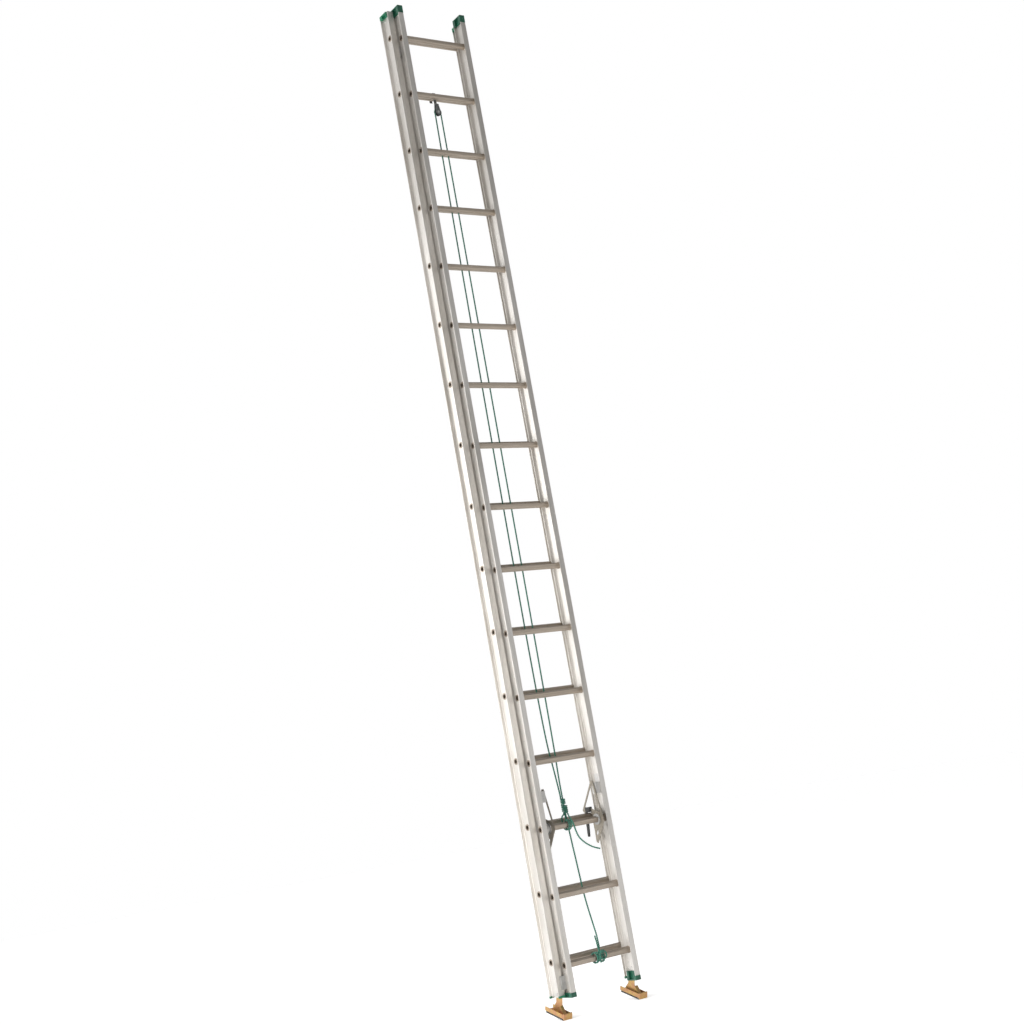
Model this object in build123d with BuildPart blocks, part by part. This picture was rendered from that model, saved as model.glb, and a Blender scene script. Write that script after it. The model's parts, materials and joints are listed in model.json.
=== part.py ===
from build123d import *
from math import cos, pi, radians, sin, tan
import os

# Two-section aluminium extension ladder, closed, rails upright. Millimetres.
# X runs across the rungs, the climber stands on the -Y side, and +Z runs up the rails.
# The origin is on the floor, in the middle of the footprint.
# The fly section nests inside the base section's rails, on the climber's side.

# Both sections
pitch = 304.8
rung_count = 16
first_rung = 152.4
gap_y = -14.7
rung_offset_y = 27.0
fly_drop = 20.0
rail_bottom = -2.0

# Rails are extruded I sections
web_thick = 2.2
flange_thick = 3.0
root_fillet = 1.5
base_web_x = 217.5
base_depth = 76.0
base_flange = 31.8
base_rail_top = 4855.0
base_rail_y = gap_y + rung_offset_y
fly_web_x = 185.5
fly_depth = 67.0
fly_flange = 28.6
fly_rail_top = 4862.0
fly_rail_y = gap_y - rung_offset_y

# Rungs are hollow D tubes, turned so that the tread is level when the ladder leans
tread_lean = 15.0
rung_radius = 14.5
tread_height = 12.0
rung_wall = 2.0
tread_edge_radius = 2.5
groove_count = 5
groove_pitch = 4.4
groove_width = 1.6
groove_depth = 0.9
tenon_radius = 12.0
tenon_bore = 10.2
swage_radius = 15.5
swage_thick = 1.6
collar_radius = 16.5
collar_thick = 3.0
fit_gap = 0.1
overshoot = 1.0

# Swivel shoes
shoe_tilt = 16.0
shoe_drop = 95.0
shoe_toe = 70.0
shoe_heel = 60.0
shoe_width = 46.0
shoe_plate = 3.0
skirt_height = 16.0
skirt_heel = 67.0
skirt_thick = 2.5
pad_thick = 8.0
pivot_up = 12.0
pivot_y = gap_y + 20.0
bolt_radius = 5.0
bolt_gap = 0.05
bolt_head_radius = 9.0
spacer_radius = 8.0
end_play = 0.4
ear_inner = 7.0
ear_thick = 3.0
neck_half = 22.0
heel_flare = 54.0
toe_web_foot = 60.0
toe_flare = 64.0
flare_start = 42.0
toe_web_drop = 46.0
toe_web_front = 26.0
toe_web_back = 23.0
toe_lip_height = 28.0
toe_lip_lift = 3.0
toe_lip_thick = 7.0
tread_grooves = 9
pad_groove_pitch = 12.0
pad_groove_depth = 2.0
pad_groove_width = 4.0

# The rails' datum stands this far above the floor, on the toes of the tilted shoes
rail_foot = shoe_toe * sin(radians(shoe_tilt)) + shoe_drop * cos(radians(shoe_tilt)) - pivot_up

# Plastic end caps
cap_wall = 1.8
cap_side = 0.7
cap_roof = 5.0
cap_skirt = 16.0
fly_top_skirt = 34.0
base_cap_front = 6.0
foot_plug = 38.0
flange_guard = 8.0

# Interlocking guides that keep the sections together
base_guide_z = 4612.0
base_guide_height = 56.0
base_guide_front = -5.0
base_guide_back = 14.0
base_guide_overlap = 11.0
fly_guide_z = 30.0
fly_guide_height = 60.0
fly_guide_front = -17.0
fly_guide_back = -3.4
fly_guide_overlap = 9.5
slide_gap = 0.6

# Rung locks turn on bushes round the fly's third rung from the bottom
lock_rung = 2
lock_x = 142.0
lock_thick = 3.0
bush_radius = 22.0
bush_flange = 26.0
bush_flange_thick = 4.0
running_gap = 0.06
tongue_thick = 6.0
tongue_pin_radius = 3.0
tongue_pin_y = 57.0
tongue_pin_z = 790.0
tongue_eye_radius = 8.2
tongue_side_gap = 0.5
pin_head_radius = 5.5
pin_head_thick = 1.5
keeper_bottom = 860.0
keeper_top = 912.0
keeper_plate_top = 950.0
keeper_plate_deep = 44.0
keeper_lip_x = 146.0
keeper_lip_deep = 32.0

# Pulley on the base's second rung from the top
sheave_x = -27.0
sheave_z = 4330.0
sheave_radius = 19.0
sheave_width = 11.0
wrap_radius = 17.0
sheave_bore = 4.05
axle_radius = 4.0
cheek_inner = 6.2
cheek_thick = 1.8
cheek_half = 15.0
strap_half = 8.0
bridge_z = 4372.0
strap_gap = 1.0
crown_rise = 2.5
hook_drop = 34.0
axle_head_radius = 6.5
axle_head_thick = 1.2
groove_gap = 0.4

# Rope
rope_radius = 4.0
loop_radius = 22.5
knot_radius = 12.5
knot_bottom = 782.0
knot_top = 872.0
knot_x = -19.0
splice_radius = 6.5
splice_bottom = 176.0
splice_top = 232.0
splice_x = 5.0
splice_y = -47.0
splice_pitch = 14.0
splice_eye_y = -55.0
splice_eye_z = 150.0
splice_neck_y = -49.0
splice_neck_height = 30.0
lashing_x = (-27.0, -12.0)

os.makedirs("parts", exist_ok=True)


def level(height):
    """Height above the floor of a point measured up the rails from their datum."""
    return rail_foot + height


def depth(offset):
    """Row-frame Y of a point measured from the gap between the two sections."""
    return gap_y + offset


def rung_height(index, section):
    """Centre height of a rung, counted from the bottom, on either section."""
    drop = fly_drop if section == "fly" else 0.0
    return level(first_rung + pitch * index - drop)


def finish(part, label):
    """Label a finished piece and write its STEP file."""
    part.label = label
    export_step(part, f"parts/{label}.step")
    print(f"{label}: {part.volume:.0f} mm3")


def side_plane(x):
    """Plane across the rungs at X = x, with local axes Y and Z."""
    return Plane(origin=(x, 0, 0), x_dir=(0, 1, 0), z_dir=(1, 0, 0))


def i_section(deep, wide, flange_gap=0.0, web_gap=0.0):
    """I section about the sketch origin, flanges front and back, grown by the gaps."""
    for end in (-1, 1):
        with Locations((0, end * (deep - flange_thick) / 2)):
            Rectangle(wide + 2 * flange_gap, flange_thick + 2 * flange_gap)
    Rectangle(web_thick + 2 * web_gap, deep - flange_thick)


def rail(side, section):
    """One extruded side rail with its rung holes."""
    is_base = section == "base"
    web_x = side * (base_web_x if is_base else fly_web_x)
    rail_y = base_rail_y if is_base else fly_rail_y
    deep, wide = (base_depth, base_flange) if is_base else (fly_depth, fly_flange)
    top = base_rail_top if is_base else fly_rail_top
    with BuildPart() as piece:
        with BuildSketch(Plane.XY.offset(level(rail_bottom))):
            with Locations((web_x, rail_y)):
                i_section(deep, wide)
        extrude(amount=top - rail_bottom)
        roots = [
            edge
            for edge in piece.edges().filter_by(Axis.Z)
            if abs(abs(edge.center().X - web_x) - web_thick / 2) < fit_gap
        ]
        fillet(roots, radius=root_fillet)
        with BuildSketch(side_plane(web_x - web_thick)):
            for index in range(rung_count):
                with Locations((rail_y, rung_height(index, section))):
                    Circle(tenon_radius + fit_gap)
            if is_base:
                with Locations((pivot_y, level(pivot_up))):
                    Circle(bolt_radius + bolt_gap)
        extrude(amount=2 * web_thick, mode=Mode.SUBTRACT)
    return piece.part


def d_profile(radius, top):
    """Sketch of a D about the origin, flat side up, round side down."""
    with BuildSketch() as profile:
        with BuildLine():
            Polyline((radius, 0), (radius, top), (-radius, top), (-radius, 0))
            ThreePointArc((-radius, 0), (0, -radius), (radius, 0))
        make_face()
    return profile.sketch


def rung(index, section):
    """One hollow D rung with a grooved tread and swaged ends."""
    is_base = section == "base"
    half = (base_web_x if is_base else fly_web_x) - web_thick / 2
    centre_y = base_rail_y if is_base else fly_rail_y
    centre = (centre_y, rung_height(index, section))
    lean = radians(tread_lean)
    tilted = Plane(
        origin=(-half, *centre),
        x_dir=(0, cos(lean), sin(lean)),
        z_dir=(1, 0, 0),
    )
    outer = d_profile(rung_radius, tread_height)
    inner = d_profile(rung_radius - rung_wall, tread_height - rung_wall - groove_depth)
    with BuildPart() as piece:
        with BuildSketch(tilted) as profile:
            add(outer)
            fillet(profile.vertices().group_by(Axis.Y)[-1], radius=tread_edge_radius)
            with Locations((0, tread_height)):
                with GridLocations(groove_pitch, 0, groove_count, 1):
                    Rectangle(groove_width, 2 * groove_depth, mode=Mode.SUBTRACT)
        extrude(amount=2 * half)
        for end in (-1, 1):
            with BuildSketch(side_plane(end * half)):
                with Locations(centre):
                    Circle(collar_radius)
            extrude(amount=-end * collar_thick)
            with BuildSketch(side_plane(end * half)):
                with Locations(centre):
                    Circle(tenon_radius)
            extrude(amount=end * (web_thick + swage_thick))
            with BuildSketch(side_plane(end * (half + web_thick))):
                with Locations(centre):
                    Circle(swage_radius)
            extrude(amount=end * swage_thick)
        with BuildSketch(tilted):
            add(inner)
        extrude(amount=2 * half, mode=Mode.SUBTRACT)
        reach = half + web_thick + swage_thick
        with BuildSketch(side_plane(-reach)):
            with Locations(centre):
                Circle(tenon_bore)
        extrude(amount=2 * reach, mode=Mode.SUBTRACT)
    return piece.part


def end_cap(side, section, at_top):
    """Plastic cap that sleeves the end of a rail and closes its channels."""
    is_base = section == "base"
    web_x = side * (base_web_x if is_base else fly_web_x)
    rail_y = base_rail_y if is_base else fly_rail_y
    deep, wide = (base_depth, base_flange) if is_base else (fly_depth, fly_flange)
    rail_top = base_rail_top if is_base else fly_rail_top
    rail_end = level(rail_top if at_top else rail_bottom)
    outward = 1 if at_top else -1
    skirt = fly_top_skirt if at_top and not is_base else cap_skirt
    inward_plane = Plane.XY.offset(rail_end + outward * cap_roof)
    with BuildPart() as piece:
        with BuildSketch(inward_plane):
            with Locations((web_x, rail_y)):
                RectangleRounded(wide + 2 * cap_side, deep + 2 * cap_wall, cap_wall)
        extrude(amount=-outward * (cap_roof + skirt))
        rim = piece.faces().sort_by(Axis.Z)[-1 if at_top else 0]
        chamfer(rim.edges(), length=cap_wall / 2)
        if not at_top:
            with BuildSketch(Plane.XY.offset(rail_end)):
                with Locations((web_x - side * wide / 4, rail_y)):
                    Rectangle(wide / 2, deep - 2 * flange_thick - 2 * fit_gap)
            extrude(amount=foot_plug)
        with BuildSketch(Plane.XY.offset(rail_end)):
            with Locations((web_x, rail_y)):
                i_section(deep, wide, flange_gap=fit_gap, web_gap=root_fillet + fit_gap)
        extrude(amount=-outward * foot_plug, mode=Mode.SUBTRACT)
        for hand in (-1, 1):
            channel_x = web_x + hand * (web_thick + wide / 2) / 2
            with BuildSketch(Plane.XY.offset(rail_end)):
                with Locations((channel_x + hand * cap_wall, rail_y)):
                    Rectangle(wide / 2, deep / 2)
            extrude(amount=-outward * foot_plug, mode=Mode.SUBTRACT)
        if is_base:
            with BuildSketch(Plane.XY.offset(rail_end - skirt)):
                with Locations((web_x, depth(base_cap_front) - deep / 2)):
                    Rectangle(wide + 4 * cap_side, deep)
            extrude(amount=skirt + cap_roof, mode=Mode.SUBTRACT)
    return piece.part


def base_top_caps():
    """Green caps on the top ends of the base rails, clear of their front flanges."""
    return Compound(children=[end_cap(side, "base", True) for side in (-1, 1)])


def fly_end_caps():
    """Caps on both ends of both fly rails."""
    caps = [end_cap(side, "fly", at_top) for side in (-1, 1) for at_top in (True, False)]
    return Compound(children=caps)


def base_foot_caps():
    """Small guards round the bottom ends of the base rails' flanges."""
    with BuildPart() as piece:
        for side in (-1, 1):
            for end in (-1, 1):
                flange_y = base_rail_y + end * (base_depth - flange_thick) / 2
                with BuildSketch(Plane.XY.offset(level(rail_bottom - cap_wall))):
                    with Locations((side * base_web_x, flange_y)):
                        Rectangle(base_flange + 2 * cap_side, flange_thick + 2 * cap_wall)
                extrude(amount=flange_guard + cap_wall)
                with BuildSketch(Plane.XY.offset(level(rail_bottom))):
                    with Locations((side * base_web_x, flange_y)):
                        Rectangle(base_flange + 2 * fit_gap, flange_thick + 2 * fit_gap)
                    with Locations((side * base_web_x, flange_y - end * flange_thick)):
                        Rectangle(web_thick + 4 * root_fillet, 2 * flange_thick)
                extrude(amount=flange_guard, mode=Mode.SUBTRACT)
    return piece.part


def base_guides():
    """Blocks in the base rails' channels, slotted for the fly rails' rear flanges."""
    fly_rear_y = fly_rail_y + fly_depth / 2 - flange_thick / 2
    web_face = base_web_x - web_thick / 2
    flange_edge = fly_web_x + fly_flange / 2
    nose_x = flange_edge - base_guide_overlap
    block_y = (depth(base_guide_front) + depth(base_guide_back)) / 2
    slot_end = flange_edge + slide_gap
    slot_start = nose_x - overshoot
    slot_deep = flange_thick + 2 * slide_gap
    with BuildPart() as piece:
        for side in (-1, 1):
            with BuildSketch(Plane.XY.offset(level(base_guide_z))):
                with Locations((side * (web_face + nose_x) / 2, block_y)):
                    Rectangle(web_face - nose_x, base_guide_back - base_guide_front)
                with Locations((side * (slot_start + slot_end) / 2, fly_rear_y)):
                    Rectangle(slot_end - slot_start, slot_deep, mode=Mode.SUBTRACT)
            extrude(amount=base_guide_height)
    return piece.part


def fly_guides():
    """Blocks on the fly rails' webs, slotted for the base rails' front flanges."""
    base_front_y = base_rail_y - base_depth / 2 + flange_thick / 2
    web_face = fly_web_x + web_thick / 2
    flange_edge = base_web_x - base_flange / 2
    nose_x = flange_edge + fly_guide_overlap
    block_y = (depth(fly_guide_front) + depth(fly_guide_back)) / 2
    slot_start = flange_edge - slide_gap
    slot_end = nose_x + overshoot
    slot_deep = flange_thick + 2 * slide_gap
    with BuildPart() as piece:
        for side in (-1, 1):
            with BuildSketch(Plane.XY.offset(level(fly_guide_z))):
                with Locations((side * (web_face + nose_x) / 2, block_y)):
                    Rectangle(nose_x - web_face, fly_guide_back - fly_guide_front)
                with Locations((side * (slot_start + slot_end) / 2, base_front_y)):
                    Rectangle(slot_end - slot_start, slot_deep, mode=Mode.SUBTRACT)
            extrude(amount=fly_guide_height)
    return piece.part


def shoe_plane(side, across):
    """Plane across a shoe, tilted with it, whose origin is on the pivot bolt."""
    tilt = radians(shoe_tilt)
    return Plane(
        origin=(side * base_web_x + across, pivot_y, level(pivot_up)),
        x_dir=(0, cos(tilt), sin(tilt)),
        z_dir=(1, 0, 0),
    )


def shoe(side):
    """Pressed steel shoe: sole plate, an ear inside the rail's web and a toe lip."""
    plate_top = -shoe_drop + pad_thick + shoe_plate
    plate_x = (skirt_heel - shoe_toe) / 2
    ear_x = ear_inner if side < 0 else -ear_inner - ear_thick
    lip_x = -shoe_toe - toe_lip_thick / 2
    lip_y = -shoe_drop + toe_lip_lift + toe_lip_height / 2
    with BuildPart() as piece:
        with BuildSketch(shoe_plane(side, -shoe_width / 2)) as outline:
            with Locations((plate_x, plate_top - shoe_plate / 2)):
                Rectangle(shoe_toe + skirt_heel, shoe_plate)
            with Locations((lip_x, lip_y)):
                Rectangle(toe_lip_thick, toe_lip_height)
            fillet(outline.vertices().group_by(Axis.Y)[-1], radius=toe_lip_thick / 2 - fit_gap)
        extrude(amount=shoe_width)
        for skirt_x in (-shoe_width / 2, shoe_width / 2 - skirt_thick):
            with BuildSketch(shoe_plane(side, skirt_x)) as skirt:
                with Locations((plate_x, plate_top + skirt_height / 2)):
                    Rectangle(shoe_toe + skirt_heel, skirt_height)
                fillet(skirt.vertices().group_by(Axis.X)[-1], radius=shoe_plate)
            extrude(amount=skirt_thick)
        with BuildSketch(shoe_plane(side, ear_x)):
            with BuildLine():
                Polyline(
                    (neck_half, 0),
                    (neck_half, -flare_start),
                    (heel_flare, plate_top),
                    (-toe_flare, plate_top),
                    (-neck_half, -flare_start),
                    (-neck_half, 0),
                )
                ThreePointArc((-neck_half, 0), (0, neck_half), (neck_half, 0))
            make_face()
            Circle(bolt_radius + bolt_gap, mode=Mode.SUBTRACT)
        extrude(amount=ear_thick)
        with BuildSketch(shoe_plane(side, -ear_inner)):
            with BuildLine():
                Polyline(
                    (-toe_web_front, -toe_web_drop),
                    (-toe_flare, plate_top),
                    (-toe_web_foot, plate_top),
                    (-toe_web_back, -toe_web_drop),
                    close=True,
                )
            make_face()
        extrude(amount=2 * ear_inner)
    return piece.part


def pad(side):
    """Ribbed rubber pad bonded under a shoe's sole plate."""
    pad_x = (shoe_heel - shoe_toe) / 2
    with BuildPart() as piece:
        with BuildSketch(shoe_plane(side, -shoe_width / 2)):
            with Locations((pad_x, -shoe_drop + pad_thick / 2)):
                Rectangle(shoe_toe + shoe_heel, pad_thick)
            with Locations((pad_x, -shoe_drop)):
                with GridLocations(pad_groove_pitch, 0, tread_grooves, 1):
                    Rectangle(pad_groove_width, 2 * pad_groove_depth, mode=Mode.SUBTRACT)
        extrude(amount=shoe_width)
    return piece.part


def shoe_bolts():
    """Pivot bolts through the base rails' webs, heads outside, spacers and nuts inside."""
    spacer_out = ear_inner - bolt_gap
    shank_out = ear_inner + ear_thick + end_play
    web_face = web_thick / 2
    with BuildPart() as piece:
        for side in (-1, 1):
            centre_x = side * base_web_x
            centre = (pivot_y, level(pivot_up))
            with BuildSketch(side_plane(centre_x - side * shank_out)):
                with Locations(centre):
                    Circle(bolt_radius)
            extrude(amount=side * (shank_out + web_face))
            with BuildSketch(side_plane(centre_x - side * web_face)):
                with Locations(centre):
                    Circle(spacer_radius)
            extrude(amount=-side * (spacer_out - web_face))
            for across in (web_face, -shank_out):
                with BuildSketch(side_plane(centre_x + side * across)):
                    with Locations(centre):
                        RegularPolygon(radius=bolt_head_radius, side_count=6)
                extrude(amount=side * bolt_radius if across > 0 else -side * bolt_radius)
    return piece.part


def lock_centre():
    """Y and Z of the axis that the rung locks turn on."""
    return fly_rail_y, rung_height(lock_rung, "fly")


def lock_bushes():
    """Flanged bushes fixed on the fly's third rung, inside the rung locks."""
    centre = lock_centre()
    inner = lock_x - lock_thick / 2 - running_gap - bush_flange_thick
    total = 2 * bush_flange_thick + lock_thick + 2 * running_gap
    lean = radians(tread_lean)
    bore = d_profile(rung_radius + fit_gap, tread_height + fit_gap)
    with BuildPart() as piece:
        for side in (-1, 1):
            start = side * inner
            steps = (
                (0.0, bush_flange_thick, bush_flange),
                (0.0, total, bush_radius),
                (total - bush_flange_thick, bush_flange_thick, bush_flange),
            )
            for offset, length, radius in steps:
                with BuildSketch(side_plane(start + side * offset)):
                    with Locations(centre):
                        Circle(radius)
                extrude(amount=side * length)
            bore_plane = Plane(
                origin=(start - side * overshoot, *centre),
                x_dir=(0, cos(lean), sin(lean)),
                z_dir=(1, 0, 0),
            )
            with BuildSketch(bore_plane):
                add(bore)
            extrude(amount=side * (total + 2 * overshoot), mode=Mode.SUBTRACT)
    return piece.part


def rung_lock(side):
    """Kite-shaped lock plate whose rear hook bears on a base rung."""
    outer = side_plane(side * lock_x - lock_thick / 2)
    outline = (
        (-42.0, 921.0),
        (-28.0, 921.0),
        (74.0, 792.0),
        (66.0, 779.5),
        (7.5, 779.5),
        (7.5, 690.0),
        (9.0, 638.0),
        (-3.0, 631.0),
        (-79.0, 732.0),
        (-77.0, 752.0),
    )
    window = (
        (-33.0, 911.0),
        (50.0, 808.0),
        (46.0, 796.0),
        (4.0, 794.0),
        (-30.0, 780.0),
        (-64.0, 770.0),
    )
    centre = lock_centre()
    head_start = tongue_thick + 2 * tongue_side_gap
    pin_centre = (depth(tongue_pin_y), level(tongue_pin_z))
    with BuildPart() as piece:
        with BuildSketch(outer) as plate:
            with BuildLine():
                Polyline(*[(depth(y), level(z)) for y, z in outline], close=True)
            make_face()
            fillet(plate.vertices(), radius=3.0)
            with BuildSketch(mode=Mode.PRIVATE) as opening:
                with BuildLine():
                    Polyline(*[(depth(y), level(z)) for y, z in window], close=True)
                make_face()
                fillet(opening.vertices(), radius=2.5)
            add(opening.sketch, mode=Mode.SUBTRACT)
            with Locations(centre):
                Circle(bush_radius + running_gap, mode=Mode.SUBTRACT)
            with Locations((depth(-14.0), level(682.0))):
                SlotCenterToCenter(20, 11, rotation=-55, mode=Mode.SUBTRACT)
        extrude(amount=lock_thick)
        outside = side * (lock_x + lock_thick / 2)
        with BuildSketch(side_plane(outside)):
            with Locations(pin_centre):
                Circle(tongue_pin_radius)
        extrude(amount=side * head_start)
        with BuildSketch(side_plane(outside + side * head_start)):
            with Locations(pin_centre):
                Circle(pin_head_radius)
        extrude(amount=side * pin_head_thick)
    return piece.part


def lock_tongue(side):
    """Drop tongue that hangs on the lock's pin behind the base rung."""
    start = side * (lock_x + lock_thick / 2 + tongue_side_gap)
    pin = (depth(tongue_pin_y), level(tongue_pin_z))
    blade = ((49.0, 790.0), (65.5, 790.0), (75.0, 668.0), (62.0, 664.0), (50.0, 740.0))
    with BuildPart() as piece:
        with BuildSketch(side_plane(start)) as shape:
            with BuildLine():
                Polyline(*[(depth(y), level(z)) for y, z in blade], close=True)
            make_face()
            fillet(shape.vertices().group_by(Axis.Y)[0], radius=4.0)
            with Locations(pin):
                Circle(tongue_eye_radius)
                Circle(tongue_pin_radius + running_gap, mode=Mode.SUBTRACT)
        extrude(amount=side * tongue_thick)
    return piece.part


def lock_keepers():
    """Brackets on the fly rails' webs that guide the tops of the rung locks."""
    web_face = fly_web_x - web_thick / 2
    front = fly_rail_y - fly_depth / 2 + flange_thick + root_fillet + fit_gap
    plate_x = web_face - lock_thick / 2
    plate_y = front + keeper_plate_deep / 2
    with BuildPart() as piece:
        for side in (-1, 1):
            with BuildSketch(Plane.XY.offset(level(keeper_bottom))):
                with Locations((side * plate_x, plate_y)):
                    Rectangle(lock_thick, keeper_plate_deep)
                with Locations((side * (web_face + keeper_lip_x) / 2, front + lock_thick / 2)):
                    Rectangle(web_face - keeper_lip_x, lock_thick)
                lip_x = keeper_lip_x + lock_thick / 2
                with Locations((side * lip_x, front + keeper_lip_deep / 2)):
                    Rectangle(lock_thick, keeper_lip_deep)
            extrude(amount=keeper_top - keeper_bottom)
            with BuildSketch(Plane.XY.offset(level(keeper_top))):
                with Locations((side * plate_x, plate_y)):
                    Rectangle(lock_thick, keeper_plate_deep)
            extrude(amount=keeper_plate_top - keeper_top)
    return piece.part


def front_plane(offset):
    """Plane facing the climber at a distance behind the gap's middle, local axes X and Z."""
    return Plane(origin=(0, depth(offset), 0), x_dir=(1, 0, 0), z_dir=(0, -1, 0))


def pulley_hanger():
    """Pulley yoke whose rear cheek runs up into a strap hooked over a base rung."""
    rung_z = rung_height(rung_count - 2, "base")
    rung_y = base_rail_y
    crown_z = rung_z + rung_radius + crown_rise
    back_y = rung_y + rung_radius + strap_gap + cheek_thick
    front_y = depth(cheek_inner)
    with BuildPart() as piece:
        for inner_y in (cheek_inner + cheek_thick, -cheek_inner):
            with BuildSketch(front_plane(inner_y)):
                with Locations((sheave_x, level(sheave_z))):
                    Circle(cheek_half)
                with BuildLine():
                    Polyline(
                        (sheave_x - cheek_half, level(sheave_z)),
                        (sheave_x - strap_half, level(bridge_z)),
                        (sheave_x + strap_half, level(bridge_z)),
                        (sheave_x + cheek_half, level(sheave_z)),
                        close=True,
                    )
                make_face()
                with Locations((sheave_x, level(sheave_z))):
                    Circle(axle_radius + bolt_gap, mode=Mode.SUBTRACT)
            extrude(amount=cheek_thick)
        with BuildSketch(Plane.YZ.offset(sheave_x - strap_half)):
            with Locations((depth(0), level(bridge_z) + cheek_thick / 2)):
                Rectangle(2 * (cheek_inner + cheek_thick), cheek_thick)
            with BuildLine():
                Polyline(
                    (front_y, level(bridge_z)),
                    (front_y, crown_z + cheek_thick),
                    (back_y, crown_z + cheek_thick),
                    (back_y, rung_z + rung_radius - hook_drop),
                    (back_y - cheek_thick, rung_z + rung_radius - hook_drop),
                    (back_y - cheek_thick, crown_z),
                    (front_y + cheek_thick, crown_z),
                    (front_y + cheek_thick, level(bridge_z)),
                    close=True,
                )
            make_face()
        extrude(amount=2 * strap_half)
    return piece.part


def pulley_axle():
    """Riveted axle through the pulley's cheeks."""
    head_y = cheek_inner + cheek_thick + fit_gap
    with BuildPart() as piece:
        with BuildSketch(front_plane(head_y)):
            with Locations((sheave_x, level(sheave_z))):
                Circle(axle_radius)
        extrude(amount=2 * head_y)
        for end in (-1, 1):
            with BuildSketch(front_plane(end * head_y)):
                with Locations((sheave_x, level(sheave_z))):
                    Circle(axle_head_radius)
            extrude(amount=-end * axle_head_thick)
    return piece.part


def pulley_sheave():
    """Grooved wheel that the rope runs over."""
    groove_floor = wrap_radius - rope_radius - groove_gap
    groove_half = rope_radius + groove_gap
    half = sheave_width / 2
    centre = (sheave_x, depth(0), level(sheave_z))
    with BuildPart() as piece:
        with BuildSketch(Plane(origin=centre, x_dir=(0, 1, 0), z_dir=(1, 0, 0))):
            with BuildLine():
                Polyline(
                    (-groove_half, sheave_radius),
                    (-half, sheave_radius),
                    (-half, sheave_bore),
                    (half, sheave_bore),
                    (half, sheave_radius),
                    (groove_half, sheave_radius),
                )
                ThreePointArc(
                    (groove_half, sheave_radius),
                    (0, groove_floor),
                    (-groove_half, sheave_radius),
                )
            make_face()
        revolve(axis=Axis(centre, (0, 1, 0)), revolution_arc=360)
    return piece.part


def bend_radii(points):
    """Largest arc that each corner's two runs allow."""
    radii = []
    for before, corner, after in zip(points, points[1:], points[2:]):
        run_in = Vector(*corner) - Vector(*before)
        run_out = Vector(*after) - Vector(*corner)
        turn = radians(run_in.get_angle(run_out))
        radii.append(0.45 * min(run_in.length, run_out.length) / tan(turn / 2))
    return radii


def rope(route, name, fixed_radii=None):
    """Rope tube along straight runs joined by tangent arcs, up the rails' datum."""
    points = [(x, depth(y), level(z)) for x, y, z in route]
    radii = bend_radii(points)
    for corner, radius in (fixed_radii or {}).items():
        radii[corner] = radius
    start = Vector(*points[0])
    with BuildPart() as piece:
        with BuildLine() as path:
            FilletPolyline(*points, radius=radii)
        with BuildSketch(Plane(origin=points[0], z_dir=Vector(*points[1]) - start)):
            Circle(rope_radius)
        sweep(path=path.wires()[0])
    length = path.wires()[0].length
    section = pi * rope_radius**2
    error = piece.part.volume / (section * length) - 1
    print(f"{name}: length {length:.0f}, volume error {error:.5f}")
    print("   radii", [round(radius) for radius in radii])
    return piece.part


# Hand-chosen route points: X, then Y from the gap's middle, then Z up the rails' datum
haul_route = [
    (-10.0, 0.0, 4330.0),
    (-10.0, 0.0, 1140.0),
    (-17.0, 0.0, 950.0),
    (-14.0, 0.0, 820.0),
    (-11.0, -0.5, 715.0),
    (0.0, -4.0, 520.0),
    (3.0, -9.0, 405.0),
    (5.0, -40.0, 260.0),
    (5.0, -46.5, 233.6),
]
fall_route = [
    (-10.0, 0.0, 4330.0),
    (-10.0, 0.0, 4337.04),
    (-19.96, 0.0, 4347.0),
    (-34.04, 0.0, 4347.0),
    (-44.0, 0.0, 4337.04),
    (-44.0, 0.0, 4323.0),
    (-44.3, 0.0, 4270.0),
    (-50.0, 0.0, 3700.0),
    (-56.0, 0.0, 2500.0),
    (-56.5, 0.0, 1190.0),
    (-31.0, 0.0, 960.0),
    (-25.0, 0.0, 872.0),
]
tail_route = [
    (-12.0, -52.0, 722.0),
    (-7.0, -53.0, 690.0),
    (14.0, -54.0, 660.0),
    (45.0, -54.0, 635.0),
    (80.0, -54.0, 616.0),
    (108.0, -54.0, 608.0),
]


def rung_loops(x_places, centre):
    """Rope turns round a rung, standing just off its corners."""
    for x in x_places:
        with Locations(Location((x, *centre), (0, 90, 0))):
            Torus(loop_radius, rope_radius)


def lashing():
    """Hitches that tie the fall to the haul line and both to the fly's third rung."""
    centre = lock_centre()
    with BuildPart() as piece:
        with BuildSketch(Plane.XY.offset(level(knot_bottom))):
            with Locations((knot_x, depth(0))):
                Circle(knot_radius)
        extrude(amount=knot_top - knot_bottom)
        fillet(piece.edges().filter_by(GeomType.CIRCLE), radius=4.0)
        rung_loops(lashing_x, centre)
        with BuildSketch(Plane.XY.offset(centre[1])):
            for x in lashing_x:
                with Locations((x, centre[0] + loop_radius)):
                    Circle(rope_radius)
        extrude(amount=level(knot_bottom) - centre[1] + rope_radius)
    return piece.part


def haul_knot():
    """Spliced loop that holds the haul line on the fly's bottom rung."""
    centre = (fly_rail_y, rung_height(0, "fly"))
    with BuildPart() as piece:
        with BuildSketch(Plane.XY.offset(level(splice_bottom))):
            with Locations((splice_x, depth(splice_y))):
                Circle(splice_radius)
        extrude(amount=splice_top - splice_bottom)
        with Locations((splice_x, depth(splice_eye_y), level(splice_eye_z))):
            Sphere(knot_radius)
        rung_loops((splice_x - splice_pitch, splice_x, splice_x + splice_pitch), centre)
        with BuildSketch(Plane.XY.offset(level(splice_eye_z))):
            with Locations((splice_x, depth(splice_neck_y))):
                Rectangle(2 * splice_radius, 2 * rope_radius)
        extrude(amount=splice_neck_height)
    return piece.part


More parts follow.
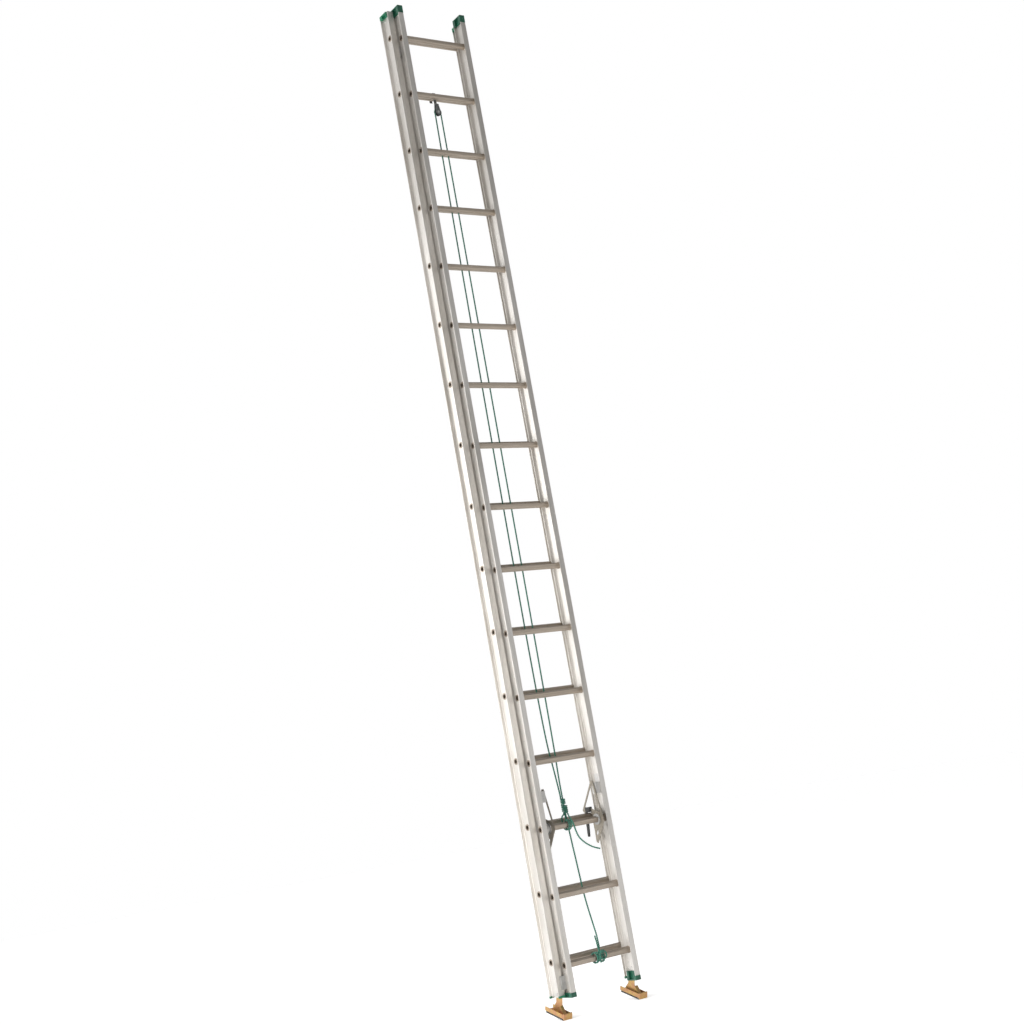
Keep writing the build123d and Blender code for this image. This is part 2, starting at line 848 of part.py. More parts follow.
for section_name in ("base", "fly"):
    for side_name, side_sign in (("left", -1), ("right", 1)):
        finish(rail(side_sign, section_name), f"{section_name}_{side_name}_rail")
    for rung_index in range(rung_count):
        finish(rung(rung_index, section_name), f"{section_name}_rung_{rung_index + 1:02d}")

finish(base_top_caps(), "base_top_caps")
finish(base_foot_caps(), "base_foot_caps")
finish(base_guides(), "base_guides")
finish(fly_end_caps(), "fly_end_caps")
finish(fly_guides(), "fly_guides")

for side_name, side_sign in (("left", -1), ("right", 1)):
    finish(shoe(side_sign), f"{side_name}_shoe")
    finish(pad(side_sign), f"{side_name}_shoe_pad")
    finish(rung_lock(side_sign), f"{side_name}_rung_lock")
    finish(lock_tongue(side_sign), f"{side_name}_lock_tongue")

finish(shoe_bolts(), "shoe_bolts")
finish(lock_bushes(), "lock_bushes")
finish(lock_keepers(), "lock_keepers")
finish(pulley_hanger(), "pulley_hanger")
finish(pulley_axle(), "pulley_axle")
finish(pulley_sheave(), "pulley_sheave")
finish(rope(haul_route, "haul_rope"), "haul_rope")
wrap_fit = wrap_radius - 0.05
wrap_corners = {corner: wrap_fit for corner in range(4)}
finish(rope(fall_route, "fall_rope", wrap_corners), "fall_rope")
finish(rope(tail_route, "rope_tail"), "rope_tail")
finish(lashing(), "lashing")
finish(haul_knot(), "haul_knot")
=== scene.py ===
import json
from math import cos, pi, radians, sin, sqrt

import bmesh
import bpy
from mathutils import Matrix, Vector


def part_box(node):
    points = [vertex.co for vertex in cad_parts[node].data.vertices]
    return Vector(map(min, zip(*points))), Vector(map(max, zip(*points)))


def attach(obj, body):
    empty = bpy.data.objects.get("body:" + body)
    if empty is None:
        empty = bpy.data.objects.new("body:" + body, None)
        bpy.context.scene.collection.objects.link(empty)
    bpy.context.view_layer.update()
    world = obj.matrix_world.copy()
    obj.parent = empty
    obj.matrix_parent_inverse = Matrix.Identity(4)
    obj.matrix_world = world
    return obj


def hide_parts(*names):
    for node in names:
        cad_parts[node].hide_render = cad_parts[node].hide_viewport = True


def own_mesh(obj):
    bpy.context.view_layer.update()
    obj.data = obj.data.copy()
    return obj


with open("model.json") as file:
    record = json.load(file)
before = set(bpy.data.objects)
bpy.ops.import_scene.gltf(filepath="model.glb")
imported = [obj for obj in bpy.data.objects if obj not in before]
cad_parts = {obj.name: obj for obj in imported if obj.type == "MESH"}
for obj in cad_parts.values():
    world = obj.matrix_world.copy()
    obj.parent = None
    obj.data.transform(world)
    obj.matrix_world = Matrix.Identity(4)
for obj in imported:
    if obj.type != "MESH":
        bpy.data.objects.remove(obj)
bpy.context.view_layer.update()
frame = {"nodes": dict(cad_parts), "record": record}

nodes = frame["nodes"]

# The rails' datum: X across the rungs, Y from the middle of the gap between the sections,
# Z up the rails. Routes and places below are in millimetres on it, as in the CAD.
MM = 0.001
GAP_TO_RAIL_FRONT = 11.0 * MM
RAIL_END_BELOW_DATUM = 2.0 * MM
rail_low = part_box("base_left_rail")[0]
GAP_Y = rail_low.y + GAP_TO_RAIL_FRONT
FOOT_Z = rail_low.z + RAIL_END_BELOW_DATUM


def place(x, y, z):
    """Point in the part's frame, in metres, of a place on the rails' datum in millimetres."""
    return Vector((x * MM, GAP_Y + y * MM, FOOT_Z + z * MM))


# ---------------------------------------------------------------- camera

CAMERA_AT = place(-4347.7, -6124.1, 881.6)
CAMERA_TARGET = place(-10.6, 0.0, 2243.7)
CAMERA_ROLL = radians(-10.149)
CAMERA_LENS_MM = 55.58
SENSOR_MM = 36.0
VIEW_DEPTH = 100.0


def add_camera():
    """Camera at the photograph's viewpoint, rolled as the photograph is."""
    forward = (CAMERA_TARGET - CAMERA_AT).normalized()
    level_right = forward.cross(Vector((0, 0, 1))).normalized()
    level_up = level_right.cross(forward)
    right = cos(CAMERA_ROLL) * level_right + sin(CAMERA_ROLL) * level_up
    up = cos(CAMERA_ROLL) * level_up - sin(CAMERA_ROLL) * level_right
    data = bpy.data.cameras.new("camera")
    data.lens = CAMERA_LENS_MM
    data.sensor_width = SENSOR_MM
    data.clip_end = VIEW_DEPTH
    camera = bpy.data.objects.new("camera", data)
    bpy.context.scene.collection.objects.link(camera)
    turn = Matrix((right, up, -forward)).transposed().to_4x4()
    camera.matrix_world = Matrix.Translation(CAMERA_AT) @ turn
    bpy.context.scene.camera = camera


add_camera()

# ---------------------------------------------------------------- materials

# Sockets of a Mix node, whose number and colour sockets share one list
MIX_FACTOR = 0
MIX_NUMBERS = (2, 3)
MIX_COLOURS = (6, 7)
MIX_NUMBER_OUT = 0
MIX_COLOUR_OUT = 2

WHITE = (1.0, 1.0, 1.0)
UNMASKED = (0.0, 0.0, 0.0)
EVENLY = (1.0, 1.0, 1.0)
# Most of a noise's values lie between these
NOISE_LOW = 0.3
NOISE_HIGH = 0.7
DIE_LINE_STRETCH = 0.012
DIE_CLOUD_STRETCH = 0.2
SCUFF_TINT = (0.3, 0.34, 0.32)


def new_material(name):
    """Empty node material with its Principled shader."""
    material = bpy.data.materials.new(name)
    material.use_nodes = True
    shader = material.node_tree.nodes["Principled BSDF"]
    return material, material.node_tree, shader


def noise(tree, source, scale, stretch, detail):
    """Noise over object or UV coordinates, stretched by a scale on each axis."""
    coordinates = tree.nodes.new("ShaderNodeTexCoord")
    mapping = tree.nodes.new("ShaderNodeMapping")
    mapping.inputs["Scale"].default_value = stretch
    texture = tree.nodes.new("ShaderNodeTexNoise")
    texture.inputs["Scale"].default_value = scale
    texture.inputs["Detail"].default_value = detail
    tree.links.new(coordinates.outputs[source], mapping.inputs["Vector"])
    tree.links.new(mapping.outputs["Vector"], texture.inputs["Vector"])
    return texture.outputs["Fac"]


def ramp(tree, value, stops):
    """Colour ramp with two (position, colour) stops."""
    node = tree.nodes.new("ShaderNodeValToRGB")
    for element, (position, colour) in zip(node.color_ramp.elements, stops):
        element.position = position
        element.color = (*colour, 1.0)
    tree.links.new(value, node.inputs["Fac"])
    return node.outputs["Color"]


def blend_colours(tree, factor, first, second, mode="MIX"):
    """Mix of two colour outputs or plain colours."""
    node = tree.nodes.new("ShaderNodeMix")
    node.data_type = "RGBA"
    node.blend_type = mode
    for index, value in zip(MIX_COLOURS, (first, second)):
        socket = node.inputs[index]
        if isinstance(value, tuple):
            socket.default_value = (*value, 1.0)
        else:
            tree.links.new(value, socket)
    if isinstance(factor, float):
        node.inputs[MIX_FACTOR].default_value = factor
    else:
        tree.links.new(factor, node.inputs[MIX_FACTOR])
    return node.outputs[MIX_COLOUR_OUT]


def spread(tree, value, low, high):
    """Map most of a noise's span onto a range."""
    node = tree.nodes.new("ShaderNodeMapRange")
    node.inputs["From Min"].default_value = NOISE_LOW
    node.inputs["From Max"].default_value = NOISE_HIGH
    node.inputs["To Min"].default_value = low
    node.inputs["To Max"].default_value = high
    tree.links.new(value, node.inputs["Value"])
    return node.outputs["Result"]


def bump(tree, height, distance, strength, under=None):
    """Bump node, stacked on another one's normal where given."""
    node = tree.nodes.new("ShaderNodeBump")
    node.inputs["Distance"].default_value = distance
    node.inputs["Strength"].default_value = strength
    tree.links.new(height, node.inputs["Height"])
    if under is not None:
        tree.links.new(under, node.inputs["Normal"])
    return node.outputs["Normal"]


def extruded_aluminium(name, dark, light, along, roughness):
    """Mill-finish extrusion: die lines along one axis, cloudy tone, a few scratches."""
    material, tree, shader = new_material(name)
    drawn_out = tuple(DIE_LINE_STRETCH if axis == along else 1.0 for axis in "XYZ")
    slow = tuple(DIE_CLOUD_STRETCH if axis == along else 1.0 for axis in "XYZ")
    lines = noise(tree, "Object", scale=700.0, stretch=drawn_out, detail=6.0)
    clouds = noise(tree, "Object", scale=9.0, stretch=slow, detail=3.0)
    scratches = noise(tree, "Object", scale=260.0, stretch=(1.0, 0.25, 0.4), detail=8.0)
    tone = ramp(tree, lines, [(NOISE_LOW, dark), (NOISE_HIGH, light)])
    cloudy = ramp(tree, clouds, [(0.35, (0.86, 0.85, 0.83)), (0.65, WHITE)])
    tone = blend_colours(tree, 1.0, tone, cloudy, "MULTIPLY")
    scored = ramp(tree, scratches, [(0.28, (0.78, 0.78, 0.77)), (0.36, WHITE)])
    tone = blend_colours(tree, 0.8, tone, scored, "MULTIPLY")
    tree.links.new(tone, shader.inputs["Base Color"])
    tree.links.new(spread(tree, clouds, roughness - 0.07, roughness + 0.07),
                   shader.inputs["Roughness"])
    relief = bump(tree, lines, distance=0.0004, strength=0.35)
    relief = bump(tree, scratches, distance=0.0003, strength=0.15, under=relief)
    tree.links.new(relief, shader.inputs["Normal"])
    shader.inputs["Metallic"].default_value = 0.85
    return material


def plain_metal(name, dark, light, roughness, scale, metallic=0.9, mottle=None):
    """Cast or plated metal with fine mottling, and a second tint where given."""
    material, tree, shader = new_material(name)
    grain = noise(tree, "Object", scale, EVENLY, detail=6.0)
    patches = noise(tree, "Object", scale / 12.0, EVENLY, detail=3.0)
    tone = ramp(tree, grain, [(NOISE_LOW, dark), (NOISE_HIGH, light)])
    if mottle is not None:
        mask = ramp(tree, patches, [(0.42, UNMASKED), (0.6, WHITE)])
        tone = blend_colours(tree, mask, tone, mottle)
    tree.links.new(tone, shader.inputs["Base Color"])
    tree.links.new(spread(tree, patches, roughness - 0.08, roughness + 0.1),
                   shader.inputs["Roughness"])
    tree.links.new(bump(tree, grain, distance=0.0003, strength=0.3), shader.inputs["Normal"])
    shader.inputs["Metallic"].default_value = metallic
    return material


def moulded(name, dark, light, roughness, scale=900.0):
    """Moulded plastic or rubber with a fine pebble and pale scuffs."""
    material, tree, shader = new_material(name)
    pebble = noise(tree, "Object", scale, EVENLY, detail=5.0)
    clouds = noise(tree, "Object", scale=30.0, stretch=EVENLY, detail=3.0)
    scuffs = noise(tree, "Object", scale=140.0, stretch=(1.0, 0.3, 1.0), detail=7.0)
    tone = ramp(tree, clouds, [(0.35, dark), (0.65, light)])
    mask = ramp(tree, scuffs, [(0.62, UNMASKED), (0.74, (0.5, 0.5, 0.5))])
    tone = blend_colours(tree, mask, tone, SCUFF_TINT)
    tree.links.new(tone, shader.inputs["Base Color"])
    tree.links.new(spread(tree, scuffs, roughness - 0.08, roughness + 0.12),
                   shader.inputs["Roughness"])
    tree.links.new(bump(tree, pebble, distance=0.0003, strength=0.4), shader.inputs["Normal"])
    return material


def rope_fibre(name, dark, light):
    """Twisted synthetic fibre: fine threads along each strand, soft sheen."""
    material, tree, shader = new_material(name)
    threads = noise(tree, "UV", scale=40.0, stretch=(1.2, 3.0, 1.0), detail=5.0)
    clouds = noise(tree, "Object", scale=60.0, stretch=EVENLY, detail=3.0)
    tone = ramp(tree, threads, [(NOISE_LOW, dark), (NOISE_HIGH, light)])
    shade = ramp(tree, clouds, [(NOISE_LOW, (0.75, 0.78, 0.78)), (NOISE_HIGH, WHITE)])
    tone = blend_colours(tree, 1.0, tone, shade, "MULTIPLY")
    tree.links.new(tone, shader.inputs["Base Color"])
    tree.links.new(bump(tree, threads, distance=0.0004, strength=0.6), shader.inputs["Normal"])
    shader.inputs["Roughness"].default_value = 0.55
    shader.inputs["Sheen Weight"].default_value = 0.25
    return material


RAIL = extruded_aluminium("rail_aluminium", (0.62, 0.60, 0.57), (0.80, 0.775, 0.74), "Z", 0.46)
# The rungs use the rails' mill aluminium painted about half as bright, as painted shade on the
# rungs.
RUNG_PAINTED_SHADE = extruded_aluminium("rung_aluminium_painted_shade", (0.31, 0.265, 0.22), (0.48, 0.415, 0.35), "X", 0.5)
CAP_GREEN = moulded("cap_green", (0.010, 0.12, 0.062), (0.02, 0.19, 0.10), 0.42)
CAP_DARK = moulded("cap_dark", (0.007, 0.065, 0.038), (0.014, 0.11, 0.062), 0.45)
GUIDE = moulded("guide_plastic", (0.25, 0.25, 0.24), (0.34, 0.33, 0.32), 0.5)
BLACK = moulded("black_nylon", (0.01, 0.01, 0.01), (0.022, 0.021, 0.02), 0.45)
RUBBER = moulded("pad_rubber", (0.012, 0.012, 0.011), (0.03, 0.028, 0.026), 0.75, 500.0)
LOCK = plain_metal("lock_casting", (0.23, 0.205, 0.17), (0.37, 0.335, 0.28), 0.44, 600.0)
ZINC = plain_metal("zinc_plate", (0.50, 0.49, 0.475), (0.68, 0.665, 0.64), 0.38, 300.0)
OLD_ZINC = plain_metal("dull_zinc", (0.16, 0.17, 0.17), (0.30, 0.31, 0.31), 0.42, 300.0)
GOLD = plain_metal("yellow_zinc", (0.36, 0.22, 0.065), (0.62, 0.42, 0.15), 0.36, 420.0,
                   0.7, (0.46, 0.24, 0.12))
ROPE = rope_fibre("rope_fibre", (0.010, 0.10, 0.068), (0.035, 0.25, 0.165))

SLOT_MATERIALS = {
    "rail": RAIL,
    "rung": RUNG_PAINTED_SHADE,
    "cap_green": CAP_GREEN,
    "cap_dark": CAP_DARK,
    "guide": GUIDE,
    "bracket": ZINC,
    "lock": LOCK,
    "tongue": BLACK,
    "shoe": GOLD,
    "pad": RUBBER,
    "hardware": ZINC,
    "sheave": BLACK,
    "rope": ROPE,
}
for subpart in frame["record"]["subparts"]:
    for material_slot in nodes[subpart["node"]].material_slots:
        material_slot.material = SLOT_MATERIALS[subpart["material_slot"]]
nodes["pulley_hanger"].material_slots[0].material = OLD_ZINC

# ---------------------------------------------------------------- mesh helpers


def add_piece(name, mesh, material, body):
    """Link a mesh as a piece that rides on a body."""
    piece = bpy.data.objects.new(name, mesh)
    bpy.context.scene.collection.objects.link(piece)
    mesh.materials.append(material)
    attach(piece, body)
    return piece


def finish_mesh(name, build, smooth=True):
    """Mesh from a bmesh, with outward normals and smooth shading."""
    bmesh.ops.recalc_face_normals(build, faces=build.faces)
    mesh = bpy.data.meshes.new(name)
    build.to_mesh(mesh)
    build.free()
    for polygon in mesh.polygons:
        polygon.use_smooth = smooth
    return mesh


def join_rings(build, rings):
    """Band of faces between each ring of vertices and the next."""
    for ring, following in zip(rings, rings[1:]):
        for corner in range(len(ring)):
            after = (corner + 1) % len(ring)
            build.faces.new((ring[corner], ring[after], following[after], following[corner]))


# ---------------------------------------------------------------- rope

ROPE_DIAMETER = 8.0 * MM
STRAND_COUNT = 3
STRAND_RADIUS = ROPE_DIAMETER / 2 / (1 + 2 / sqrt(3))
STRAND_OFFSET = ROPE_DIAMETER / 2 - STRAND_RADIUS
LAY_LENGTH = 27.0 * MM
RING_STEP = 2.0 * MM
STRAND_SIDES = 8
SPLINE_ORDER = 3
SPLINE_RESOLUTION = 24


def spline_line(name, route):
    """Points of the smooth NURBS line through a route, read back from the curve."""
    data = bpy.data.curves.new(name, "CURVE")
    data.dimensions = "3D"
    spline = data.splines.new("NURBS")
    spline.points.add(len(route) - 1)
    for control, point in zip(spline.points, route):
        control.co = (*place(*point), 1.0)
    spline.order_u = SPLINE_ORDER
    spline.use_endpoint_u = True
    spline.resolution_u = SPLINE_RESOLUTION
    curve = bpy.data.objects.new(name, data)
    bpy.context.scene.collection.objects.link(curve)
    bpy.context.view_layer.update()
    line_mesh = bpy.data.meshes.new_from_object(curve)
    line = [vertex.co.copy() for vertex in line_mesh.vertices]
    bpy.data.objects.remove(curve)
    bpy.data.meshes.remove(line_mesh)
    return line


def even_steps(line, step):
    """The same line with points a nearly even step apart."""
    lengths = [(b - a).length for a, b in zip(line, line[1:])]
    total = sum(lengths)
    count = max(2, round(total / step))
    points = [line[0].copy()]
    piece, walked = 0, 0.0
    for index in range(1, count):
        goal = total * index / count
        while walked + lengths[piece] < goal:
            walked += lengths[piece]
            piece += 1
        share = (goal - walked) / lengths[piece]
        points.append(line[piece].lerp(line[piece + 1], share))
    points.append(line[-1].copy())
    return points, total


def carried_frames(points):
    """Two axes square to the line at each point, carried along without twist."""
    tangents = []
    for index in range(len(points)):
        before = points[max(index - 1, 0)]
        after = points[min(index + 1, len(points) - 1)]
        tangents.append((after - before).normalized())
    side = tangents[0].orthogonal().normalized()
    frames = []
    for tangent in tangents:
        side = (side - side.dot(tangent) * tangent).normalized()
        frames.append((side, tangent.cross(side)))
    return frames


def lobe_radius(angle):
    """Radius of the three-strand outline at an angle from the middle of a strand."""
    across = STRAND_OFFSET * sin(angle)
    return STRAND_OFFSET * cos(angle) + sqrt(max(STRAND_RADIUS**2 - across**2, 0.0))


def rope_mesh(name, line):
    """Skin of a three-strand twisted rope along a line, closed at its ends."""
    points, total = even_steps(line, RING_STEP)
    frames = carried_frames(points)
    build = bmesh.new()
    uv_layer = build.loops.layers.uv.new("rope")
    step = total / (len(points) - 1)
    sides = STRAND_COUNT * STRAND_SIDES
    outline = []
    for corner in range(sides):
        from_strand = 2 * pi * ((corner % STRAND_SIDES) / STRAND_SIDES - 0.5) / STRAND_COUNT
        outline.append((2 * pi * corner / sides, lobe_radius(from_strand)))
    rings = []
    for index, (point, (side, other)) in enumerate(zip(points, frames)):
        twist = 2 * pi * index * step / LAY_LENGTH
        rings.append([
            build.verts.new(
                point + radius * (cos(angle + twist) * side + sin(angle + twist) * other)
            )
            for angle, radius in outline
        ])
    for index, (ring, following) in enumerate(zip(rings, rings[1:])):
        for corner in range(sides):
            after = (corner + 1) % sides
            face = build.faces.new(
                (ring[corner], ring[after], following[after], following[corner])
            )
            ups = (corner, corner + 1, corner + 1, corner)
            alongs = (index, index, index + 1, index + 1)
            for loop, up, along in zip(face.loops, ups, alongs):
                loop[uv_layer].uv = (along * step / LAY_LENGTH, up / STRAND_SIDES)
    build.faces.new(rings[0])
    build.faces.new(rings[-1])
    return finish_mesh(name, build), points, total


# The routes of the CAD ropes, with one more point on the haul line, below the pulley
HAUL_ROUTE = [
    (-10.0, 0.0, 4330.0),
    (-10.0, 0.0, 4282.0),
    (-10.0, 0.0, 1140.0),
    (-17.0, 0.0, 950.0),
    (-14.0, 0.0, 820.0),
    (-11.0, -0.5, 715.0),
    (0.0, -4.0, 520.0),
    (3.0, -9.0, 405.0),
    (5.0, -40.0, 260.0),
    (5.0, -46.5, 233.6),
]
FALL_ROUTE = [
    (-10.0, 0.0, 4330.0),
    (-10.0, 0.0, 4337.04),
    (-19.96, 0.0, 4347.0),
    (-34.04, 0.0, 4347.0),
    (-44.0, 0.0, 4337.04),
    (-44.0, 0.0, 4323.0),
    (-44.3, 0.0, 4270.0),
    (-50.0, 0.0, 3700.0),
    (-56.0, 0.0, 2500.0),
    (-56.5, 0.0, 1190.0),
    (-31.0, 0.0, 960.0),
    (-25.0, 0.0, 872.0),
]
TAIL_ROUTE = [
    (-12.0, -52.0, 722.0),
    (-7.0, -53.0, 690.0),
    (14.0, -54.0, 660.0),
    (45.0, -54.0, 635.0),
    (80.0, -54.0, 616.0),
    (108.0, -54.0, 608.0),
]

# Control points stand this much outside the turn that they make
TURN_POINTS = 8
TURN_REACH = 1 / cos(pi / TURN_POINTS)


def turns_up(centre, radius, start_deg, turn_count, z_from, z_to):
    """Points of turns round an upright line at centre (x, y)."""
    count = round(turn_count * TURN_POINTS)
    points = []
    for index in range(count + 1):
        angle = radians(start_deg) + 2 * pi * index / TURN_POINTS
        points.append((
            centre[0] + radius * TURN_REACH * cos(angle),
            centre[1] + radius * TURN_REACH * sin(angle),
            z_from + (z_to - z_from) * index / count,
        ))
    return points


def turns_round_rung(centre, radius, start_deg, turn_count, x_from, x_to, way=-1):
    """Points of turns round a rung at centre (y, z); angle 0 is its rear, 90 its top."""
    count = round(turn_count * TURN_POINTS)
    points = []
    for index in range(count + 1):
        angle = radians(start_deg) + way * 2 * pi * index / TURN_POINTS
        points.append((
            x_from + (x_to - x_from) * index / count,
            centre[0] + radius * TURN_REACH * cos(angle),
            centre[1] + radius * TURN_REACH * sin(angle),
        ))
    return points


BOW_CENTRE = (12.0, -62.0, 141.0)
BOW_RADIUS = 19.0
FLY_RUNG_Y = -27.0
LOCK_RUNG_Z = 742.0
LOWEST_RUNG_Z = 132.4
WRAP_RADIUS = 22.0
HITCH_END = (-25.0, -6.0, 792.0)


def hitches_route():
    """Hitches of the fall round the haul line: wide turns drawn up tight."""
    lower = turns_up(centre=(-13.5, -0.5), radius=11.5, start_deg=180.0, turn_count=4.0,
                     z_from=799.0, z_to=832.0)
    upper = turns_up(centre=(-16.5, -0.5), radius=9.0, start_deg=180.0, turn_count=3.0,
                     z_from=838.0, z_to=863.0)
    return [(-25.0, 0.0, 876.0)] + upper[::-1] + lower[::-1] + [HITCH_END]


def rung_wraps_route():
    """Two turns round the fly's third rung, a strand across its front, then the tail."""
    wraps = turns_round_rung((FLY_RUNG_Y, LOCK_RUNG_Z), WRAP_RADIUS, start_deg=0.0,
                             turn_count=1.875, x_from=-43.0, x_to=-22.0)
    return (
        [HITCH_END, (-34.0, -3.0, 786.0), (-42.0, -3.0, 776.0)]
        + wraps
        + [
            (-20.0, -3.0, 776.0),
            (-22.0, -8.0, 800.0),
            (-14.0, -16.0, 800.0),
            (-18.0, -30.0, 778.0),
            (-22.0, -48.0, 766.0),
            (-19.0, -54.0, 745.0),
            (-12.0, -52.0, 722.0),
            (-10.6, -52.3, 712.0),
        ]
    )


def haul_knot_route():
    """Hitch on the fly's lowest rung: turns left and right of the line, and a round bow."""
    rung = (FLY_RUNG_Y, LOWEST_RUNG_Z)
    bow = [
        (BOW_CENTRE[0] + BOW_RADIUS * sin(2 * pi * index / TURN_POINTS),
         BOW_CENTRE[1],
         BOW_CENTRE[2] + BOW_RADIUS * cos(2 * pi * index / TURN_POINTS))
        for index in range(TURN_POINTS + 1)
    ]
    left_turns = turns_round_rung(rung, WRAP_RADIUS, start_deg=135.0, turn_count=1.875,
                                  x_from=-5.0, x_to=-17.0, way=1)
    right_turns = turns_round_rung(rung, WRAP_RADIUS, start_deg=225.0, turn_count=1.75,
                                   x_from=20.0, x_to=31.0, way=1)
    return (
        [(5.0, -46.4, 234.2), (5.0, -49.0, 205.0), (4.0, -53.0, 180.0), (-2.0, -53.0, 163.0)]
        + left_turns
        + [(-12.0, -50.0, 157.0), (4.0, -55.0, 146.0), (17.0, -56.0, 132.0)]
        + right_turns
        + [(26.0, -50.0, 160.0)]
        + bow
        + [(4.0, -66.0, 164.0), (-6.0, -62.0, 146.0), (-8.0, -60.0, 126.0), (-4.0, -57.0, 110.0)]
    )


SHORT_END_ROUTE = [
    (-6.0, -46.0, 231.0),
    (-3.6, -47.5, 212.0),
    (-4.5, -52.0, 188.0),
    (-6.0, -57.0, 168.0),
    (4.0, -60.0, 156.0),
    (14.0, -58.0, 148.0),
]


def add_ropes():
    """Haul line, fall, tail and the two knots, each of three twisted strands."""
    haul_mesh, haul_points, haul_length = rope_mesh("haul_line", spline_line("haul", HAUL_ROUTE))
    fall_mesh, fall_points, fall_length = rope_mesh("fall_line", spline_line("fall", FALL_ROUTE))
    tail_mesh, tail_points, tail_length = rope_mesh("rope_end", spline_line("tail", TAIL_ROUTE))
    hitches_mesh = rope_mesh("hitches", spline_line("hitches", hitches_route()))[0]
    wraps_mesh = rope_mesh("rung_wraps", spline_line("rung_wraps", rung_wraps_route()))[0]
    knot_mesh = rope_mesh("bottom_knot", spline_line("knot", haul_knot_route()))[0]
    short_mesh = rope_mesh("bottom_knot_end", spline_line("short", SHORT_END_ROUTE))[0]

    haul = add_piece("haul_line", haul_mesh, ROPE, "base")
    fall = add_piece("fall_line", fall_mesh, ROPE, "base")
    tail = add_piece("rope_end", tail_mesh, ROPE, "base")
    hitches = add_piece("hitches", hitches_mesh, ROPE, "base")
    wraps = add_piece("rung_wraps", wraps_mesh, ROPE, "base")
    knot = add_piece("bottom_knot", knot_mesh, ROPE, "fly")
    short_end = add_piece("bottom_knot_end", short_mesh, ROPE, "fly")
    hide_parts("haul_rope")
    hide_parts("fall_rope")
    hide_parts("rope_tail")
    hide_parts("lashing")
    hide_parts("lashing")
    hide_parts("haul_knot")
    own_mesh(haul)


add_ropes()

# ---------------------------------------------------------------- small fittings

RIVET_RADIUS = 4.5 * MM
RIVET_HEIGHT = 2.2 * MM
RIVET_SIDES = 16
RIVET_ROWS = 5


def dome(build, centre, outward):
    """Rivet head: a low dome on a face."""
    outward = Vector(outward).normalized()
    side = outward.orthogonal().normalized()
    other = outward.cross(side)
    rings = []
    for row in range(RIVET_ROWS):
        lift = pi / 2 * row / RIVET_ROWS
        ring = []
        for corner in range(RIVET_SIDES):
            angle = 2 * pi * corner / RIVET_SIDES
            spoke = cos(angle) * side + sin(angle) * other
            ring.append(build.verts.new(
                centre + RIVET_RADIUS * cos(lift) * spoke + RIVET_HEIGHT * sin(lift) * outward
            ))
        rings.append(ring)
    top = build.verts.new(centre + RIVET_HEIGHT * outward)
    join_rings(build, rings)
    for corner in range(RIVET_SIDES):
        build.faces.new((rings[-1][corner], rings[-1][(corner + 1) % RIVET_SIDES], top))
    build.faces.new(list(reversed(rings[0])))


def add_rivets(name, places, body):
    """One piece of rivet heads; each place is (x, y, z) with the face's outward axis."""
    build = bmesh.new()
    for point, outward in places:
        dome(build, place(*point), outward)
    return add_piece(name, finish_mesh(name, build), ZINC, body)


# Distances of the riveted faces from the middle, then where the rivets stand on them
BASE_WEB_OUT = 218.6
BASE_WEB_IN = 216.4
FLY_WEB_OUT = 186.6
FLY_WEB_IN = 184.4
KEEPER_FACE = 181.4
BASE_GUIDE_Y = 4.5
BASE_GUIDE_RIVETS_Z = (4626.0, 4654.0)
FLY_GUIDE_Y = -10.0
FLY_GUIDE_RIVETS_Z = (46.0, 74.0)
KEEPER_Y = -38.0
KEEPER_RIVETS_Z = (872.0, 900.0, 936.0)
BASE_HEAD_RIVET = (50.0, 4826.0)
FLY_HEAD_RIVET = (-44.0, 4816.0)
FLY_FOOT_RIVET = (-27.0, 52.0)


def add_all_rivets():
    """Rivet heads of the guides and keepers, and some on the webs near the rails' ends."""
    base_rivets, fly_rivets = [], []
    for side in (-1, 1):
        outward, inward = (side, 0, 0), (-side, 0, 0)
        for z in BASE_GUIDE_RIVETS_Z:
            base_rivets.append(((side * BASE_WEB_OUT, BASE_GUIDE_Y, z), outward))
        for z in FLY_GUIDE_RIVETS_Z:
            fly_rivets.append(((side * FLY_WEB_IN, FLY_GUIDE_Y, z), inward))
        for z in KEEPER_RIVETS_Z:
            fly_rivets.append(((side * FLY_WEB_OUT, KEEPER_Y, z), outward))
        fly_rivets.append(((side * KEEPER_FACE, KEEPER_Y, KEEPER_RIVETS_Z[-1]), inward))
        base_rivets.append(((side * BASE_WEB_OUT, *BASE_HEAD_RIVET), outward))
        base_rivets.append(((side * BASE_WEB_IN, *BASE_HEAD_RIVET), inward))
        fly_rivets.append(((side * FLY_WEB_OUT, *FLY_HEAD_RIVET), outward))
        fly_rivets.append(((side * FLY_WEB_IN, *FLY_HEAD_RIVET), inward))
        fly_rivets.append(((side * FLY_WEB_IN, *FLY_FOOT_RIVET), inward))
    add_rivets("base_rivets", base_rivets, "base")
    add_rivets("fly_rivets", fly_rivets, "fly")


add_all_rivets()


# The saddles' ranges across, deep and high, then the springs' windings; wire is a radius
SADDLE_X = (133.0, 151.0)
SADDLE_Y = (9.5, 46.0)
SADDLE_Z = (778.8, 803.0)
SADDLE_BEVEL = 2.5
SPRING_RADIUS = 20.8
SPRING_WIRE = 1.3
SPRING_X = (150.0, 164.0)
SPRING_TURNS = 5
COIL_START = radians(60.0)
COIL_STEPS_PER_TURN = 40
COIL_SIDES = 8


def box_mesh(name, low, high, bevel):
    """Rounded block between two corners on the datum."""
    low, high = place(*low), place(*high)
    build = bmesh.new()
    bmesh.ops.create_cube(build, size=1.0)
    for vertex in build.verts:
        for axis in range(3):
            share = vertex.co[axis] + 0.5
            vertex.co[axis] = low[axis] + share * (high[axis] - low[axis])
    bmesh.ops.bevel(build, geom=list(build.edges), offset=bevel * MM, segments=3,
                    affect="EDGES", profile=0.5)
    return finish_mesh(name, build)


